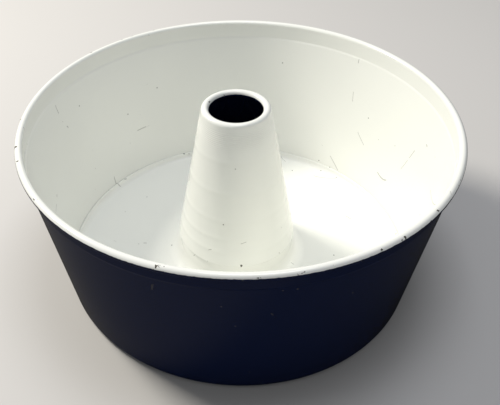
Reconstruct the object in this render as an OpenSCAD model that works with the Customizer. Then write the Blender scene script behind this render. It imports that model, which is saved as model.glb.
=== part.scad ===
/* [Overall size] */
// Diameter over the rolled rim bead
rim_d = 254; // [235:1:275]
// Height of the side wall, to the top of the rim bead
pan_h = 104.6; // [90:0.1:120]
// Diameter where the wall's outer face would meet the table
base_d = 212.2; // [190:0.1:225]
// Thickness of the enamelled sheet
sheet_t = 1; // [0.6:0.1:1.4]

/* [Rim] */
// Diameter of the wire that stiffens the rim
wire_d = 2.3; // [1.6:0.1:3]
// Where the rolled sheet ends under the bead, in degrees from outward
curl_end = -112; // [-118:1:-60]
// Lean of the collar below the bead, in degrees from upright
collar_lean = 1.5; // [0:0.1:3]
// Height of the collar, from the step in the wall to the middle of the bead
collar_h = 9.3; // [6:0.1:14]
// How far the wall steps out into the collar
step_out = 0.6; // [0.2:0.1:1.2]
// Height over which the wall steps out
step_h = 1.3; // [0.8:0.1:2.5]

/* [Base of the wall] */
// Outside radius of the bottom corner
corner_r = 5.3; // [4.6:0.1:8]
// Width of the flat ring that the pan stands on
foot_ring_w = 4.2; // [3:0.1:7]
// Width of the raised seat that carries the insert
seat_w = 5; // [3:0.1:9]

/* [Insert] */
// Free gap between the insert's edge and the wall, all round
insert_gap = 0.3; // [0.3:0.05:0.6]
// Length of the straight lip above the floor's rounded edge
floor_lip = 0.8; // [0.2:0.1:3]
// Radius of the hollow curve where the floor rises into its collar
foot_curve_r = 9; // [5:0.5:12]
// Height of the tube's lower edge, where it sleeves over the collar
lap_z = 19.5; // [15.5:0.1:26]
// Length of the collar inside the tube
lap_len = 7.5; // [4:0.1:12]

/* [Tube] */
// Height to the top of the tube's lip
tube_h = 111.3; // [95:0.1:130]
// Outer diameter of the tube at its lower edge
tube_foot_d = 72.7; // [60:0.1:90]
// Diameter of the hole through the lip
tube_hole_d = 31.6; // [24:0.1:40]
// Radius of the rolled lip's section
tube_lip_r = 2.3; // [2:0.1:3]
// Where the lip's rolled sheet ends, in degrees from outward
lip_end = 292; // [200:1:300]

/* [Hidden] */
$fn = 128;
navy = "#1b2744";
white = "#f1f1ec";
steel = "#8f9397";
// Overlap of a round stretch with the straight stretch next to it, in degrees
join_a = 0.5;

wire_r = wire_d / 2;
bead_r = wire_r + sheet_t;
bead_c = [rim_d / 2 - bead_r, pan_h - bead_r];
base_r = base_d / 2;

// The collar hangs straight from the bead, with its inner face flush with the bead's
collar_n = [-cos(collar_lean), sin(collar_lean)];
collar_out = bead_c + wire_r * collar_n;
collar_in = bead_c + bead_r * collar_n;
step_top = bead_c[1] - collar_h;
step_bottom = step_top - step_h;

// Point at height z on the line through p that leans by the angle a
function on_line(p, a, z) = [p[0] + (z - p[1]) * tan(a), z];
// Unit vector at the angle a from outward
function dir(a) = [cos(a), sin(a)];

collar_low_out = on_line(collar_out, collar_lean, step_top);
collar_low_in = on_line(collar_in, collar_lean, step_top);
wall_top_r = collar_low_out[0] - step_out;
wall_lean = atan2(wall_top_r - base_r, step_bottom);
corner_c = [base_r - corner_r * tan((90 - wall_lean) / 2), corner_r];
ring_in_r = corner_c[0] - foot_ring_w;
seat_out_r = ring_in_r - 2 * insert_gap;
seat_in_r = seat_out_r - seat_w;

// The seat stands one gap above the ring, so the insert's rounded edge clears the corner evenly
seat_z = sheet_t + insert_gap;
floor_z = seat_z + sheet_t;
edge_out_r = corner_r - sheet_t - insert_gap;
edge_in_r = edge_out_r - sheet_t;

// The tube's outer face runs from its lower edge to a tangent on the rolled lip
lip_c = [tube_hole_d / 2 + tube_lip_r, tube_h - tube_lip_r];
foot_to_lip = [tube_foot_d / 2 - lip_c[0], lip_c[1] - lap_z];
tube_lean = atan2(foot_to_lip[0], foot_to_lip[1]) - asin(tube_lip_r / norm(foot_to_lip));
sheet_across = sheet_t / cos(tube_lean);
collar_r = tube_foot_d / 2 - sheet_across;
foot_curve_c = [collar_r + foot_curve_r, floor_z + foot_curve_r];
collar_top = on_line([collar_r, lap_z], -tube_lean, lap_z + lap_len);

// Flat ring sector about c between two radii, from angle a to angle b, run on a little at each end
// so that it joins the straight stretches next to it
module arc_band(c, r_in, r_out, a, b) {
    reach = 3 * r_out;
    steps = ceil((b - a) / 60);
    sweep = b - a + 2 * join_a;
    fan = [for (i = [0 : steps]) reach * dir(a - join_a + sweep * i / steps)];
    translate(c) intersection() {
        difference() {
            circle(r_out);
            circle(r_in);
        }
        polygon(concat([[0, 0]], fan));
    }
}

// Round edge of a sheet at the middle of its thickness
module sheet_edge(p) {
    translate(p) circle(sheet_t / 2);
}

module side_wall_profile() {
    corner_out = corner_c + corner_r * dir(-wall_lean);
    corner_in = corner_c + (corner_r - sheet_t) * dir(-wall_lean);
    // Rolled bead round the wire, left open underneath
    arc_band(bead_c, wire_r, bead_r, curl_end, 180 - collar_lean);
    sheet_edge(bead_c + (wire_r + sheet_t / 2) * dir(curl_end));
    // Tapered wall, the step and the collar
    polygon([corner_out, [wall_top_r, step_bottom], collar_low_out, collar_out,
        collar_in, collar_low_in, on_line(corner_in, wall_lean, step_bottom), corner_in]);
    // Rounded bottom corner
    arc_band(corner_c, corner_r - sheet_t, corner_r, -90, -wall_lean);
    // Flat ring that stands on the table, and the raised seat inside it
    polygon([[corner_c[0], 0], [corner_c[0], sheet_t], [ring_in_r, sheet_t], [seat_out_r, seat_z],
        [seat_in_r, seat_z], [seat_in_r, insert_gap], [seat_out_r, insert_gap], [ring_in_r, 0]]);
    sheet_edge([seat_in_r, seat_z - sheet_t / 2]);
}

module floor_profile() {
    lip_out = corner_c + edge_out_r * dir(-wall_lean);
    lip_in = corner_c + edge_in_r * dir(-wall_lean);
    rise = floor_lip * [sin(wall_lean), cos(wall_lean)];
    // Rounded outer edge, which follows the inside of the wall's corner
    arc_band(corner_c, edge_in_r, edge_out_r, -90, -wall_lean);
    polygon([lip_out, lip_out + rise, lip_in + rise, lip_in]);
    sheet_edge((lip_out + lip_in) / 2 + rise);
    // Flat floor
    polygon([[corner_c[0], seat_z], [corner_c[0], floor_z],
        [foot_curve_c[0], floor_z], [foot_curve_c[0], seat_z]]);
    // Hollow curve up into the collar
    arc_band(foot_curve_c, foot_curve_r, foot_curve_r + sheet_t, 180, 270);
    // Upright collar, turned in above the lap to lie inside the tube
    polygon([[collar_r, foot_curve_c[1]], [collar_r, lap_z], collar_top,
        collar_top - [sheet_across, 0], [collar_r - sheet_across, lap_z],
        [collar_r - sheet_t, foot_curve_c[1]]]);
}

module tube_profile() {
    tangent_out = lip_c + tube_lip_r * dir(tube_lean);
    tangent_in = lip_c + (tube_lip_r - sheet_t) * dir(tube_lean);
    edge_z = lap_z + sheet_t / 2;
    edge_out = on_line([tube_foot_d / 2, lap_z], -tube_lean, edge_z);
    edge_in = on_line([collar_r, lap_z], -tube_lean, edge_z);
    // Tapered tube with a rounded lower edge
    polygon([edge_out, tangent_out, tangent_in, edge_in]);
    sheet_edge((edge_out + edge_in) / 2);
    // Lip rolled inward
    arc_band(lip_c, tube_lip_r - sheet_t, tube_lip_r, tube_lean, lip_end);
    sheet_edge(lip_c + (tube_lip_r - sheet_t / 2) * dir(lip_end));
}

module side_wall() {
    color(navy) rotate_extrude() side_wall_profile();
}

module rim_wire() {
    color(steel) rotate_extrude() translate(bead_c) circle(wire_r);
}

module floor_plate() {
    color(white) rotate_extrude() floor_profile();
}

module centre_tube() {
    color(white) rotate_extrude() tube_profile();
}

side_wall();
rim_wire();
floor_plate();
centre_tube();
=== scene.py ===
# %% [markdown]
# # Angel food cake pan: navy and white enamel
# The pan is two sheet-metal parts. A tapered shell has a rolled rim, and a floor with a tall tube lifts
# out of it. This script dresses the construction model: it turns the visible skins as smooth lathe
# meshes, gives them fired enamel, and lights them like the photograph.

# %% Frame
import math

import bpy
import numpy as np
from mathutils import Matrix, Vector


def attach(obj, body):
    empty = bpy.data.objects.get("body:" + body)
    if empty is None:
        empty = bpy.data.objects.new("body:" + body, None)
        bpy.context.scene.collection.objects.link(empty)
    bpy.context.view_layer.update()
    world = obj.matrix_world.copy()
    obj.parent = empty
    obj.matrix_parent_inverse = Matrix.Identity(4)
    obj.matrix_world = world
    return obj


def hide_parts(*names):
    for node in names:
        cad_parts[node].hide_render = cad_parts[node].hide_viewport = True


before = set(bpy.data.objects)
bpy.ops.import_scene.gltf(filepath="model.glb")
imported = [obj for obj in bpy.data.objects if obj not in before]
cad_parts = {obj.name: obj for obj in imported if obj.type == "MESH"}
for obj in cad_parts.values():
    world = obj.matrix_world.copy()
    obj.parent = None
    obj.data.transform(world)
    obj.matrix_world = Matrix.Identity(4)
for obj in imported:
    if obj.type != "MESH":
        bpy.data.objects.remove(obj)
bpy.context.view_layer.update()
mm = 0.001
print("nodes in the frame:", sorted(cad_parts))

# %% [markdown]
# ## Driving sizes
# These are the pan's real sizes in millimetres. The same numbers drive the construction model, so the
# skins made here lie on its faces.

# %% Sizes
rim_r = 127.0
pan_h = 104.6
base_r = 106.1
sheet_t = 1.0
wire_r = 1.15
bead_r = wire_r + sheet_t
bead_c = np.array([rim_r - bead_r, pan_h - bead_r])
curl_end = -112
collar_lean = 1.5
step_top = bead_c[1] - 9.3
step_bottom = step_top - 1.3
step_out = 0.6
corner_r = 5.3
foot_ring_w = 4.2
seat_w = 5.0
insert_gap = 0.3
floor_lip = 0.8
foot_curve_r = 9.0
lap_z = 19.5
lap_len = 7.5
tube_h = 111.3
tube_foot_r = 36.35
tube_hole_r = 15.8
lip_r = 2.3
lip_end = 292


def on_line(point, lean, z):
    """The point at height z on the line through point that leans outward by lean degrees."""
    return np.array([point[0] + (z - point[1]) * math.tan(math.radians(lean)), z])


def heading(angle):
    """Unit vector at an angle in degrees from outward."""
    return np.array([math.cos(math.radians(angle)), math.sin(math.radians(angle))])


collar_out = bead_c + wire_r * heading(180 - collar_lean)
collar_in = bead_c + bead_r * heading(180 - collar_lean)
collar_low_out = on_line(collar_out, collar_lean, step_top)
collar_low_in = on_line(collar_in, collar_lean, step_top)
wall_top_r = collar_low_out[0] - step_out
wall_lean = math.degrees(math.atan2(wall_top_r - base_r, step_bottom))
corner_c = np.array([base_r - corner_r * math.tan(math.radians((90 - wall_lean) / 2)), corner_r])
ring_in_r = corner_c[0] - foot_ring_w
seat_out_r = ring_in_r - 2 * insert_gap
seat_in_r = seat_out_r - seat_w
seat_z = sheet_t + insert_gap
floor_z = seat_z + sheet_t
lip_c = np.array([tube_hole_r + lip_r, tube_h - lip_r])
foot_to_lip = np.array([tube_foot_r - lip_c[0], lip_c[1] - lap_z])
tube_lean = math.degrees(math.atan2(*foot_to_lip) - math.asin(lip_r / np.linalg.norm(foot_to_lip)))
sheet_across = sheet_t / math.cos(math.radians(tube_lean))
collar_r = tube_foot_r - sheet_across
foot_curve_c = np.array([collar_r + foot_curve_r, floor_z + foot_curve_r])
print("wall leans %.2f degrees and the tube %.2f" % (wall_lean, tube_lean))

# %% [markdown]
# ## Turning a skin
# A pressed or spun pan is round, so each skin is its cut outline turned about the axis. The outline
# carries one number per point: how far it lies from the edge of the white coat, in millimetres, with
# plus on the white side. The enamel reads that number.

# %% Lathe
turns = 288


def arc(centre, radius, start, end, step=8):
    """Points of an arc from start to end, in degrees."""
    count = max(2, int(abs(end - start) / step) + 1)
    return [centre + radius * heading(a) for a in np.linspace(start, end, count)]


def soften(points, cut=0.22):
    """The closed outline with each sharp corner drawn as a small round."""
    soft = []
    for i, here in enumerate(points):
        back = points[i - 1] - here
        ahead = points[(i + 1) % len(points)] - here
        len_back = np.linalg.norm(back)
        len_ahead = np.linalg.norm(ahead)
        turn = math.degrees(math.acos(np.clip(-(back @ ahead) / (len_back * len_ahead), -1, 1)))
        if turn < 14:
            soft.append(here)
            continue
        near = here + back * min(cut, len_back / 3) / len_back
        far = here + ahead * min(cut, len_ahead / 3) / len_ahead
        soft += [near, (near + 2 * here + far) / 4, far]
    return soft


def lathe(name, white_side, navy_side):
    """Turns a closed outline, white_side and then navy_side, both starting at the coat's edge."""
    white = np.array(white_side)
    navy = np.array(navy_side)

    def coat(points, sign):
        run = np.cumsum(np.r_[0, np.linalg.norm(np.diff(points, axis=0), axis=1)])
        return sign * np.minimum(run, run[-1] - run + 0.3)

    outline = np.vstack([white, navy])
    distance = np.r_[coat(white, 1), coat(navy, -1)]
    rounded = np.array(soften([np.array(p) for p in outline]))
    nearest = [int(np.argmin(np.linalg.norm(outline - p, axis=1))) for p in rounded]
    distance = distance[nearest]
    angles = np.linspace(0, 2 * math.pi, turns, endpoint=False)
    rings = len(rounded)
    verts = [
        (r * math.cos(a) * mm, r * math.sin(a) * mm, z * mm)
        for a in angles
        for r, z in rounded
    ]
    faces = []
    for i in range(turns):
        j = (i + 1) % turns
        for k in range(rings):
            m = (k + 1) % rings
            faces.append((i * rings + k, i * rings + m, j * rings + m, j * rings + k))
    mesh = bpy.data.meshes.new(name)
    mesh.from_pydata(verts, [], faces)
    area = sum(
        rounded[k][0] * rounded[(k + 1) % rings][1] - rounded[(k + 1) % rings][0] * rounded[k][1]
        for k in range(rings)
    )
    if area > 0:
        mesh.flip_normals()
    paint = mesh.attributes.new("coat_mm", "FLOAT", "POINT")
    paint.data.foreach_set("value", np.tile(distance, turns))
    for polygon in mesh.polygons:
        polygon.use_smooth = True
    mesh.update()
    piece = bpy.data.objects.new(name, mesh)
    bpy.context.scene.collection.objects.link(piece)
    print("%s: %d points in the outline, %d faces" % (name, rings, len(faces)))
    return piece


# %% [markdown]
# ## The shell
# The shell is drawn from one sheet. Its foot is rounded, and the wall steps out into a collar near the
# top, where the edge is rolled over a wire. The white coat was sprayed inside and over the bead, so its
# edge lies just above the bead's widest line.

# %% Shell
coat_edge = 15
edge_step = 4
corner_in = corner_c + (corner_r - sheet_t) * heading(-wall_lean)
shell_white = (
    arc(bead_c, bead_r, coat_edge, 180 - collar_lean)
    + [collar_low_in, on_line(corner_in, wall_lean, step_bottom)]
    + arc(corner_c, corner_r - sheet_t, -wall_lean, -90)
    + [np.array([ring_in_r, sheet_t]), np.array([seat_out_r, seat_z]), np.array([seat_in_r, seat_z])]
)
shell_navy = (
    [np.array([seat_in_r, insert_gap]), np.array([seat_out_r, insert_gap]), np.array([ring_in_r, 0])]
    + arc(corner_c, corner_r, -90, -wall_lean)
    + [np.array([wall_top_r, step_bottom]), collar_low_out]
    + arc(bead_c, wire_r + 0.01, 180 - collar_lean, curl_end)
    + arc(bead_c, bead_r, curl_end, coat_edge - edge_step)
)
shell = lathe("shell_enamel", shell_white, shell_navy)
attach(shell, "shell")
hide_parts("side_wall")

# %% [markdown]
# ## The floor
# The lift-out floor has a rounded edge that nests in the foot of the wall. In the middle it rises in a
# hollow curve to the collar that carries the tube.

# %% Floor
edge_out_r = corner_r - sheet_t - insert_gap
edge_in_r = edge_out_r - sheet_t
rise = floor_lip * np.array([math.sin(math.radians(wall_lean)), math.cos(math.radians(wall_lean))])
# The enamel thickens at the lip, so less of the gap to the wall shows
lip_flare = 0.2
lip_mid = corner_c + (edge_in_r + sheet_t / 2 + lip_flare) * heading(-wall_lean) + rise
collar_top = on_line([collar_r, lap_z], -tube_lean, lap_z + lap_len)
floor_white = (
    arc(lip_mid, sheet_t / 2, -wall_lean, 180 - wall_lean, 30)
    + arc(corner_c, edge_in_r, -wall_lean, -90)
    + arc(foot_curve_c, foot_curve_r, 270, 180, 4)
    + [np.array([collar_r, lap_z]), collar_top]
)
floor_navy = (
    [collar_top - [sheet_across, 0], np.array([collar_r - sheet_across, lap_z])]
    + arc(foot_curve_c, foot_curve_r + sheet_t, 180, 270, 4)
    + arc(corner_c, edge_out_r, -90, -wall_lean)
)
floor_skin = lathe("floor_enamel", floor_white, floor_navy)
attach(floor_skin, "insert")
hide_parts("floor_plate")

# %% [markdown]
# ## The tube
# The tube was spun over a cone, and the tool left marks: a band of fine turned grooves below the lip and
# a few broad, shallow bands lower down. Its top edge is rolled inward. Its bore is navy.

# %% Tube
groove_top = 107.0
groove_bottom = 93.0
groove_pitch = 1.15
groove_depth = 0.07
band_heights = (88.0, 68.0, 50.0, 38.0, 29.0)
band_width = 1.6
band_depth = 0.13


def spin_marks(z):
    """How far the spinning tool left the face below or above a true cone at height z."""
    fade = np.clip((z - groove_bottom) / 6, 0, 1) * np.clip((groove_top - z) / 1.5, 0, 1)
    fine = groove_depth * fade * math.sin(2 * math.pi * z / groove_pitch)
    broad = sum(band_depth * math.exp(-(((z - h) / band_width) ** 2)) for h in band_heights)
    return broad - fine


tangent_out = lip_c + lip_r * heading(tube_lean)
edge_z = lap_z + sheet_t / 2
edge_out = on_line([tube_foot_r, lap_z], -tube_lean, edge_z)
edge_in = on_line([collar_r, lap_z], -tube_lean, edge_z)
fine_step = 0.16
coarse_step = 0.8
cone_z = np.r_[
    np.arange(tangent_out[1] - 0.6, groove_bottom, -fine_step),
    np.arange(groove_bottom, edge_z + 0.4, -coarse_step),
]
cone = [on_line(edge_out, -tube_lean, z) + [spin_marks(z), 0] for z in cone_z]
bore_edge = 172
tube_white = (
    arc(lip_c, lip_r, bore_edge, tube_lean)
    + cone
    + arc((edge_out + edge_in) / 2, sheet_t / 2, 0, -90, 30)
)
tube_navy = (
    arc((edge_out + edge_in) / 2, sheet_t / 2, -100, -180, 30)
    + arc(lip_c, lip_r - sheet_t, tube_lean, lip_end)
    + arc(lip_c, lip_r, lip_end, bore_edge + edge_step)
)
tube_skin = lathe("tube_enamel", tube_white, tube_navy)
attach(tube_skin, "insert")
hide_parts("centre_tube")

# %% [markdown]
# ## Fired enamel
# Enamel is glass melted on to steel. It is hard and glossy, with a faint ripple, and here it has small
# dark specks and chips from years of use. The navy and white coats meet in a slightly ragged line,
# because one was sprayed over the other.

# %% Enamel


def linear(code):
    """A colour written as sRGB hex, turned to linear RGBA."""
    parts = [int(code[i : i + 2], 16) / 255 for i in (1, 3, 5)]
    return [c / 12.92 if c <= 0.04045 else ((c + 0.055) / 1.055) ** 2.4 for c in parts] + [1]


def add(tree, kind, inputs=None, **settings):
    """Adds a node, sets it up, and links or sets its inputs."""
    node = tree.nodes.new(kind)
    for key, value in settings.items():
        setattr(node, key, value)
    for key, value in (inputs or {}).items():
        if isinstance(value, bpy.types.NodeSocket):
            tree.links.new(value, node.inputs[key])
        else:
            node.inputs[key].default_value = value
    return node


navy_hex = "#101a38"
white_hex = "#eeefe9"
speck_hex = "#57534b"
ragged_mm = 0.35
ragged_grain_mm = 2.2
coat_blend_mm = 0.12
speck_cell_mm = 7.0
speck_mm = 0.55
speck_share = 0.22
speck_core = 0.4
scratch_wander_mm = 70.0
scratch_width = 0.0022
scratch_run_mm = 13.0
scratch_break = 0.61
scratch_strength = 0.45
chip_band_mm = 2.6
chip_mm = 3.2
chip_level = 0.69
ripple_mm = 7.0
gloss = 0.14


def enamel(name, under, over):
    """Glossy fired enamel in two coats, under on the minus side of the coat line and over on the plus."""
    material = bpy.data.materials.new(name)
    material.use_nodes = True
    tree = material.node_tree
    tree.nodes.clear()
    place = add(tree, "ShaderNodeTexCoord").outputs["Object"]
    coat = add(tree, "ShaderNodeAttribute", attribute_name="coat_mm").outputs["Fac"]
    rag = add(tree, "ShaderNodeTexNoise", {"Vector": place, "Scale": 1 / (ragged_grain_mm * mm), "Detail": 2.0})
    shift = add(tree, "ShaderNodeMapRange",
                {"Value": rag.outputs["Fac"], "To Min": -ragged_mm, "To Max": ragged_mm})
    line = add(tree, "ShaderNodeMath", {0: coat, 1: shift.outputs["Result"]}, operation="ADD")
    side = add(tree, "ShaderNodeMapRange",
               {"Value": line.outputs[0], "From Min": -coat_blend_mm, "From Max": coat_blend_mm})
    coats = add(tree, "ShaderNodeMix", {"Factor": side.outputs["Result"], 6: linear(under), 7: linear(over)},
                data_type="RGBA")
    cells = add(tree, "ShaderNodeTexVoronoi", {"Vector": place, "Scale": 1 / (speck_cell_mm * mm)})
    reach = add(tree, "ShaderNodeMapRange",
                {"Value": cells.outputs["Distance"], "From Min": speck_mm / speck_cell_mm,
                 "From Max": speck_core * speck_mm / speck_cell_mm})
    pick = add(tree, "ShaderNodeSeparateColor", {"Color": cells.outputs["Color"]})
    rare = add(tree, "ShaderNodeMath", {0: pick.outputs[0], 1: 1 - speck_share}, operation="GREATER_THAN")
    speck = add(tree, "ShaderNodeMath",
                {0: reach.outputs["Result"], 1: rare.outputs[0]}, operation="MULTIPLY")
    # A scratch follows one level of a slow noise, and a second noise breaks it into short runs
    drift = add(tree, "ShaderNodeTexNoise",
                {"Vector": place, "Scale": 1 / (scratch_wander_mm * mm), "Detail": 0.0})
    near = add(tree, "ShaderNodeMath",
               {0: drift.outputs["Fac"], 1: 0.5, 2: scratch_width}, operation="COMPARE")
    runs = add(tree, "ShaderNodeTexNoise", {"Vector": place, "Scale": 1 / (scratch_run_mm * mm), "Detail": 2.0})
    broken = add(tree, "ShaderNodeMath", {0: runs.outputs["Fac"], 1: scratch_break}, operation="GREATER_THAN")
    scratch = add(tree, "ShaderNodeMath", {0: near.outputs[0], 1: broken.outputs[0]}, operation="MULTIPLY")
    # Chips lie only in the narrow band beside an edge, where knocks land
    beside = add(tree, "ShaderNodeMath", {0: coat, 1: 0.0, 2: chip_band_mm}, operation="COMPARE")
    knocks = add(tree, "ShaderNodeTexNoise", {"Vector": place, "Scale": 1 / (chip_mm * mm), "Detail": 3.0})
    struck = add(tree, "ShaderNodeMath", {0: knocks.outputs["Fac"], 1: chip_level}, operation="GREATER_THAN")
    chip = add(tree, "ShaderNodeMath", {0: beside.outputs[0], 1: struck.outputs[0]}, operation="MULTIPLY")
    marks = add(tree, "ShaderNodeMath", {0: speck.outputs[0], 1: chip.outputs[0]}, operation="MAXIMUM")
    faint = add(tree, "ShaderNodeMath", {0: scratch.outputs[0], 1: scratch_strength}, operation="MULTIPLY")
    wear = add(tree, "ShaderNodeMath", {0: marks.outputs[0], 1: faint.outputs[0]}, operation="MAXIMUM")
    colour = add(tree, "ShaderNodeMix",
                 {"Factor": wear.outputs[0], 6: coats.outputs[2], 7: linear(speck_hex)}, data_type="RGBA")
    wave = add(tree, "ShaderNodeTexNoise", {"Vector": place, "Scale": 1 / (ripple_mm * mm), "Detail": 1.0})
    bump = add(tree, "ShaderNodeBump",
               {"Height": wave.outputs["Fac"], "Strength": 0.12, "Distance": 0.15 * mm})
    shader = add(tree, "ShaderNodeBsdfPrincipled",
                 {"Base Color": colour.outputs[2], "Roughness": gloss, "IOR": 1.5, "Normal": bump.outputs[0]})
    add(tree, "ShaderNodeOutputMaterial", {"Surface": shader.outputs[0]})
    return material


# Two glossy coats: gives the eye a hard wet shine, a soft sprayed edge and a few dark specks
pan_enamel = enamel("vitreous_enamel_fired_on_steel", navy_hex, white_hex)
for piece in (shell, floor_skin, tube_skin):
    piece.data.materials.append(pan_enamel)

# %% [markdown]
# ## Rim wire
# The drawn steel wire inside the bead only shows as a glint through the slit under the rim.

# %% Wire


def drawn_steel(name):
    """Bright drawn wire: a grey metal with fine marks along its length."""
    material = bpy.data.materials.new(name)
    material.use_nodes = True
    tree = material.node_tree
    shader = tree.nodes["Principled BSDF"]
    shader.inputs["Metallic"].default_value = 1.0
    place = add(tree, "ShaderNodeTexCoord").outputs["Object"]
    marks = add(tree, "ShaderNodeTexNoise", {"Vector": place, "Scale": 1 / (3 * mm), "Detail": 3.0})
    tone = add(tree, "ShaderNodeMix",
               {"Factor": marks.outputs["Fac"], 6: linear("#85898c"), 7: linear("#a9adaf")}, data_type="RGBA")
    rough = add(tree, "ShaderNodeMapRange", {"Value": marks.outputs["Fac"], "To Min": 0.28, "To Max": 0.45})
    tree.links.new(tone.outputs[2], shader.inputs["Base Color"])
    tree.links.new(rough.outputs["Result"], shader.inputs["Roughness"])
    return material


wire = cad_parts["rim_wire"]
wire.data.materials.clear()
wire.data.materials.append(drawn_steel("drawn_steel_wire"))

# %% [markdown]
# ## Floor and light
# The pan stands on a plain pale floor. The window light in the photograph comes from the upper left,
# a little behind the pan, and the room fills the rest.

# %% Stage
floor_mesh = bpy.data.meshes.new("studio_floor")
half = 6.0
floor_corners = [(-half, -half, 0), (half, -half, 0), (half, half, 0), (-half, half, 0)]
floor_mesh.from_pydata(floor_corners, [], [(0, 1, 2, 3)])
floor_obj = bpy.data.objects.new("studio_floor", floor_mesh)
bpy.context.scene.collection.objects.link(floor_obj)
floor_paint = bpy.data.materials.new("matt_studio_paint")
floor_paint.use_nodes = True
floor_shader = floor_paint.node_tree.nodes["Principled BSDF"]
floor_shader.inputs["Base Color"].default_value = linear("#c9c7c4")
floor_shader.inputs["Roughness"].default_value = 0.8
# Painted reflection: glossy rays see this floor much darker than the camera does, so the glossy enamel mirrors
# a dark floor like worn boards
floor_tree = floor_paint.node_tree
floor_path = add(floor_tree, "ShaderNodeLightPath")
floor_reflection_paint = add(floor_tree, "ShaderNodeMix",
                 {"Factor": floor_path.outputs["Is Glossy Ray"], 6: linear("#c9c7c4"), 7: linear("#3c3a38")},
                 data_type="RGBA")
floor_tree.links.new(floor_reflection_paint.outputs[2], floor_shader.inputs["Base Color"])
# Seen from below the floor is clear, so that the pan's underside can be looked at
floor_face = add(floor_tree, "ShaderNodeNewGeometry")
floor_clear = add(floor_tree, "ShaderNodeBsdfTransparent")
floor_mix = add(floor_tree, "ShaderNodeMixShader",
                {0: floor_face.outputs["Backfacing"], 1: floor_shader.outputs[0], 2: floor_clear.outputs[0]})
floor_tree.links.new(floor_mix.outputs[0], floor_tree.nodes["Material Output"].inputs["Surface"])
floor_mesh.materials.append(floor_paint)

world = bpy.data.worlds.new("pale_room")
bpy.context.scene.world = world
world.use_nodes = True
sky = world.node_tree.nodes["Background"]
sky.inputs["Strength"].default_value = 0.36
# The room behind the camera is dim, so mirror rays see a darker room than the soft light suggests
room_path = add(world.node_tree, "ShaderNodeLightPath")
room = add(world.node_tree, "ShaderNodeMix",
           {"Factor": room_path.outputs["Is Glossy Ray"], 6: linear("#e4e7ec"), 7: linear("#4a4e57")},
           data_type="RGBA")
world.node_tree.links.new(room.outputs[2], sky.inputs["Color"])


def area_lamp(name, place, aim, size, watts, colour):
    """A soft square lamp at place, turned towards aim. Places are in metres."""
    data = bpy.data.lights.new(name, "AREA")
    data.size = size
    data.energy = watts
    data.color = linear(colour)[:3]
    lamp = bpy.data.objects.new(name, data)
    bpy.context.scene.collection.objects.link(lamp)
    lamp.location = place
    lamp.rotation_euler = (Vector(aim) - Vector(place)).to_track_quat("-Z", "Y").to_euler()
    return lamp


area_lamp("window", (-0.85, 0.36, 1.0), (0, 0, 0.05), 0.34, 17, "#fffaf0")
area_lamp("overhead", (0.1, 0.0, 1.5), (0, 0, 0.0), 0.6, 7, "#f4f7ff")

# %% [markdown]
# ## Camera
# The camera was worked out from the photograph: the rim, tube hole, floor line and base outline all
# have to fall in the right places. The picture is a crop, so its optical centre lies off the middle.

# %% Camera
picture_w = 500
picture_h = 405
focal_px = 733.1
centre_px = (185.0, 110.0)
cam_distance = 425.949
cam_target_z = 103.06
elevation = math.radians(33.537)
yaw = math.radians(-3.975)
pitch = math.radians(-0.636)
roll = math.radians(0.123)

back = Vector((0, -math.cos(elevation), math.sin(elevation)))
right = Vector((1, 0, 0))
level = Matrix((right, back.cross(right), back))
turn_yaw = Matrix.Rotation(yaw, 3, "Y")
turn_pitch = Matrix.Rotation(pitch, 3, "X")
turn_roll = Matrix.Rotation(roll, 3, "Z")
axes = turn_roll @ turn_pitch @ turn_yaw @ level

cam_data = bpy.data.cameras.new("camera")
cam_data.sensor_width = 36
cam_data.lens = focal_px * cam_data.sensor_width / picture_w
cam_data.shift_x = (picture_w / 2 - centre_px[0]) / picture_w
cam_data.shift_y = (centre_px[1] - picture_h / 2) / picture_w
cam_data.clip_start = 0.01
camera = bpy.data.objects.new("camera", cam_data)
bpy.context.scene.collection.objects.link(camera)
spot = back * cam_distance * mm + Vector((0, 0, cam_target_z * mm))
camera.matrix_world = Matrix.Translation(spot) @ axes.transposed().to_4x4()
bpy.context.scene.camera = camera
bpy.context.scene.view_settings.view_transform = "Standard"
